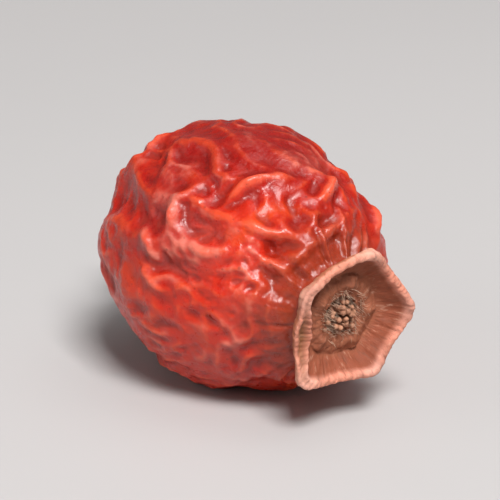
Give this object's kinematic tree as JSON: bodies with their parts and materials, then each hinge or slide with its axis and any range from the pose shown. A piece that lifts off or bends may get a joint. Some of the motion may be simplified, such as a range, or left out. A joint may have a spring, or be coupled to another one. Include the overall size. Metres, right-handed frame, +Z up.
{
  "type": "dried rose hip",
  "caption": "Dried rose hip on its side: a wrinkled red egg-shaped body, at one end an angled woody calyx collar with a tuft of dried styles in its dish, at the other a short broken stalk.",
  "frame": {"origin": "on the ground, under the middle of the hip's box", "axes": "+Z up; +Y along the hip towards the broken stalk, so the open calyx faces -Y and hangs a little"},
  "size_m": [0.0122, 0.0168, 0.0114],
  "materials": {
    "dried_skin": "dried fruit skin, wrinkled and softly glossy, red with orange and crimson patches",
    "woody_calyx": "dry matte, tan rim and browner dish",
    "dried_styles": "dry matte brown",
    "broken_stalk": "dry matte, fibrous, paler at the break"
  },
  "bodies": {
    "root": {"hip_flesh": "dried_skin", "calyx_collar": "woody_calyx", "style_tuft": "dried_styles", "stalk_stub": "broken_stalk"}
  },
  "joints": []
}
